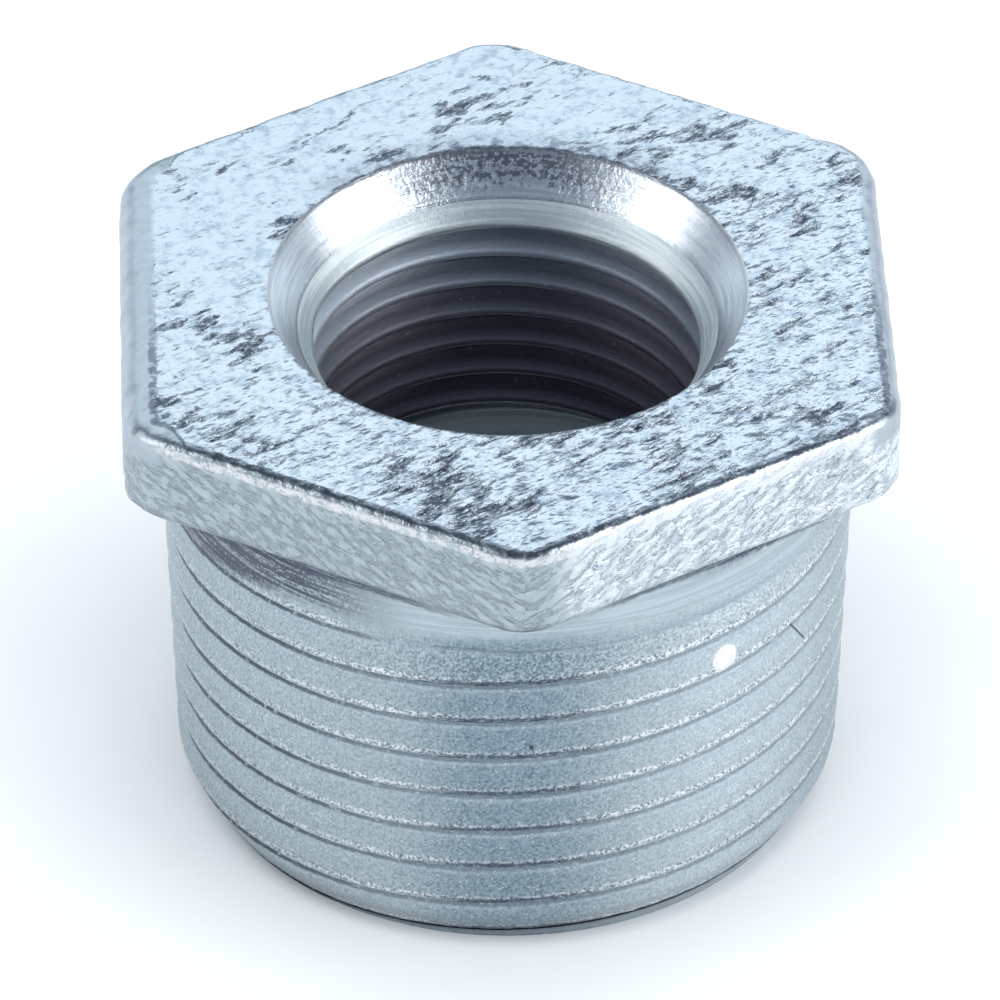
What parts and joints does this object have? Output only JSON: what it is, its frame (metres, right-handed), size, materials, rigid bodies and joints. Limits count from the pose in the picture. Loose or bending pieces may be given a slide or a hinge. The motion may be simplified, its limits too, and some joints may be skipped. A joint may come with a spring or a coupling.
{
  "type": "hex bushing",
  "caption": "Reducing hex bushing: a hexagon head on a short tapered male pipe thread, with a smaller pipe thread tapped through it.",
  "frame": {"origin": "middle of the male end face, on the axis", "axes": "+Z along the axis, from the male end up to the hexagon head; two flats of the hexagon face +X and -X"},
  "size_m": [0.0366, 0.0414, 0.028],
  "materials": {
    "galvanised_iron": "hot-dip galvanised, as cast on the head and cut on the threads"
  },
  "bodies": {
    "root": {"hex_bushing": "galvanised_iron"}
  },
  "joints": []
}
